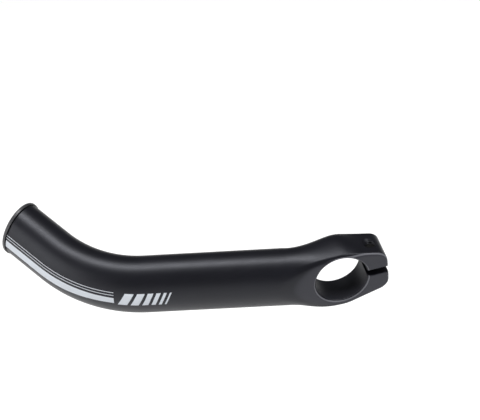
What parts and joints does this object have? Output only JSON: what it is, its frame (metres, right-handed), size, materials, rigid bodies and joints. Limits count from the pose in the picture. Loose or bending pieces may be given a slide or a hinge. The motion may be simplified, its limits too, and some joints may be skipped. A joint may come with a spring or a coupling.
{
  "type": "bicycle bar end",
  "caption": "Satin black oval-tube bicycle bar end with split handlebar clamp, clamp bolt with washer, and plastic end plug.",
  "frame": {"origin": "Centre of the handlebar bore, half way through the clamp's thickness.", "axes": "+Y along the handlebar bore to the outboard face; +X from the bore into the arm; +Z along the clamp bolt, from its head to its threaded end."},
  "size_m": [0.1527, 0.0722, 0.0399],
  "materials": {
    "body_finish": "satin black anodised",
    "plug_plastic": "matt",
    "bolt_steel": "satin",
    "washer_steel": "satin"
  },
  "bodies": {
    "bar_end": {"bar_end_body": "body_finish", "end_plug": "plug_plastic"},
    "washer": {"bolt_washer": "washer_steel"},
    "bolt": {"clamp_bolt": "bolt_steel"}
  },
  "joints": [
    {"name": "bolt_travel", "type": "slide", "parent": "bar_end", "child": "washer", "axis": [0, 0, -1], "range_m": [0, 0.0068]},
    {"name": "bolt_turn", "type": "hinge", "parent": "washer", "child": "bolt", "pos_m": [-0.01465, 0, 0], "axis": [0, 0, -1], "range_deg": [0, 3061]}
  ],
  "couplings": [
    {"joint": "bolt_turn", "follows": "bolt_travel", "rad_per_m": 7854}
  ]
}
